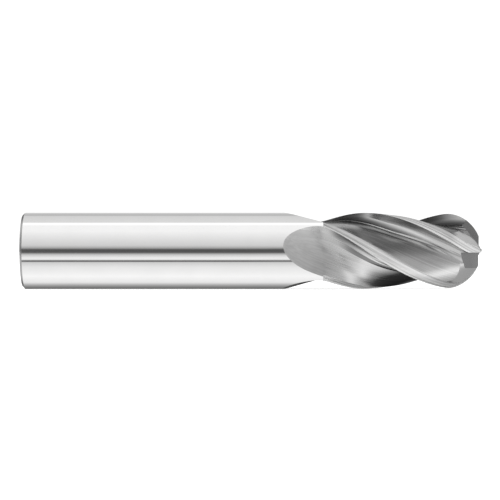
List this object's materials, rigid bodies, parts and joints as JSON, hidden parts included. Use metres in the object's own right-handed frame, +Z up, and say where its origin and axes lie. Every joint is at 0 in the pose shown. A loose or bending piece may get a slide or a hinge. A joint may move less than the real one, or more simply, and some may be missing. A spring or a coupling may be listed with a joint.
{
  "type": "ball-nose end mill",
  "caption": "Solid carbide ball-nose end mill: plain round shank, spiral flutes with ground relief, and a hemispherical cutting tip.",
  "frame": {"origin": "centre of the flat end face of the shank, on the tool's axis", "axes": "+X along the tool's axis, from the shank towards the cutting tip; +Z up with the tool lying down"},
  "size_m": [0.0762, 0.0126, 0.0126],
  "materials": {
    "carbide": "polished shank, fine-ground flutes and relief lands"
  },
  "bodies": {
    "root": {"end_mill": "carbide"}
  },
  "joints": []
}
